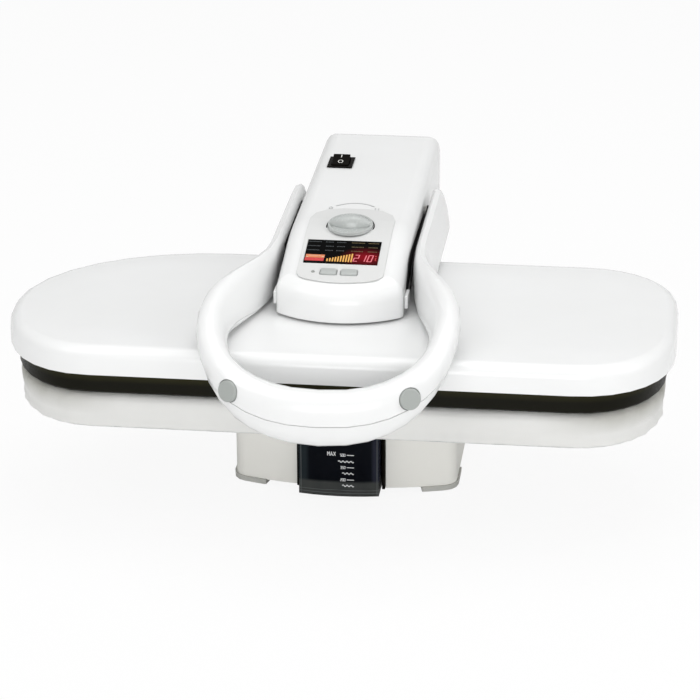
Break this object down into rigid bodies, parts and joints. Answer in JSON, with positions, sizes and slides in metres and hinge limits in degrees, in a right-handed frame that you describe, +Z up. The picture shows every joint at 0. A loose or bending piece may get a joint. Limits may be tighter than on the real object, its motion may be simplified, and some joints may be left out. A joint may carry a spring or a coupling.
{
  "type": "steam ironing press",
  "caption": "Steam ironing press: padded board on a low base, heated plate on a hinged rear arm, loop handle with steam keys, control panel, drawer water tank.",
  "frame": {"origin": "on the floor under the middle of the press's own outline", "axes": "+X to the right of a user who stands in front, +Y away from the user, +Z up"},
  "size_m": [0.652, 0.5598, 0.2698],
  "materials": {
    "gloss_white": "gloss",
    "satin_white": "satin",
    "light_grey": "satin",
    "foot_grey": "matte",
    "gloss_black": "gloss",
    "smoke": "gloss",
    "coated_metal": "satin",
    "steel_finish": "satin",
    "zinc_sheet": "matte",
    "cloth_white": "matte",
    "felt_grey": "matte",
    "circuit_green": "satin",
    "lamp_clear": "gloss",
    "nylon": "satin",
    "rubber": "matte"
  },
  "bodies": {
    "base": {"base_housing": "satin_white", "base_floor": "satin_white", "foot_front_left": "foot_grey", "foot_front_right": "foot_grey", "foot_back_left": "foot_grey", "foot_back_right": "foot_grey", "floor_screw_1": "steel_finish", "floor_screw_2": "steel_finish", "floor_screw_3": "steel_finish", "floor_screw_4": "steel_finish", "tank_bezel": "gloss_black", "tank_cradle": "zinc_sheet", "water_pump": "gloss_black", "pump_foot": "rubber", "relay_board": "circuit_green", "cord_inlet": "rubber", "board_tray": "zinc_sheet", "board_felt": "felt_grey", "board_cover": "cloth_white", "column_cover": "satin_white", "column_frame": "zinc_sheet", "hinge_bush_left": "nylon", "hinge_bush_right": "nylon", "lift_spring_left": "steel_finish", "lift_spring_right": "steel_finish"},
    "head": {"arm_upper_shell": "gloss_white", "arm_lower_shell": "gloss_white", "arm_frame": "zinc_sheet", "plate_mount": "zinc_sheet", "plate_cover": "gloss_white", "sole_plate": "coated_metal", "steam_chamber_lid": "coated_metal", "heating_element": "steel_finish", "control_panel": "gloss_white", "display_window": "gloss_black", "display_board": "circuit_green", "status_lamp": "lamp_clear", "knob_sensor": "zinc_sheet", "switch_housing": "gloss_black", "handle_bush_left": "nylon", "handle_bush_right": "nylon", "handle_stop_left": "gloss_white", "handle_stop_right": "gloss_white", "hinge_shaft": "steel_finish"},
    "handle": {"handle_upper_shell": "gloss_white", "handle_lower_shell": "gloss_white", "handle_shaft": "steel_finish"},
    "tank": {"water_tank": "smoke", "tank_lid": "smoke", "tank_cap": "light_grey"},
    "dial": {"steam_knob": "light_grey", "knob_shaft": "steel_finish"},
    "mode_key": {"mode_button": "light_grey"},
    "set_key": {"set_button": "light_grey"},
    "rocker": {"power_rocker": "gloss_black"},
    "steam_key_left": {"steam_button_left": "light_grey"},
    "steam_key_right": {"steam_button_right": "light_grey"}
  },
  "joints": [
    {"name": "head_hinge", "type": "hinge", "parent": "base", "child": "head", "pos_m": [0, 0.23, 0.1669], "axis": [-1, 0, 0], "range_deg": [0, 32]},
    {"name": "handle_hinge", "type": "hinge", "parent": "head", "child": "handle", "pos_m": [0, 0.128, 0.2234], "axis": [-1, 0, 0], "range_deg": [0, 19.2]},
    {"name": "tank_slide", "type": "slide", "parent": "base", "child": "tank", "axis": [0, -1, 0], "range_m": [0, 0.15]},
    {"name": "dial_turn", "type": "hinge", "parent": "head", "child": "dial", "pos_m": [0, -0.0155, 0.25613], "axis": [0, -0.1123, 0.9937], "range_deg": [-135, 135]},
    {"name": "mode_key_press", "type": "slide", "parent": "head", "child": "mode_key", "axis": [0, 0.2164, -0.9763], "range_m": [0, 0.0008], "stiffness_N_per_m": 300},
    {"name": "set_key_press", "type": "slide", "parent": "head", "child": "set_key", "axis": [0, 0.2164, -0.9763], "range_m": [0, 0.0008], "stiffness_N_per_m": 300},
    {"name": "rocker_tilt", "type": "hinge", "parent": "head", "child": "rocker", "pos_m": [-0.0327, 0.1715, 0.25975], "axis": [-1, 0, 0], "range_deg": [0, 22]},
    {"name": "steam_key_left_press", "type": "slide", "parent": "handle", "child": "steam_key_left", "axis": [0.4899, 0.8376, -0.2419], "range_m": [0, 0.0025], "stiffness_N_per_m": 400},
    {"name": "steam_key_right_press", "type": "slide", "parent": "handle", "child": "steam_key_right", "axis": [-0.4899, 0.8376, -0.2419], "range_m": [0, 0.0025], "stiffness_N_per_m": 400}
  ],
  "couplings": [
    {"joint": "handle_hinge", "follows": "head_hinge", "ratio": 0.6}
  ]
}
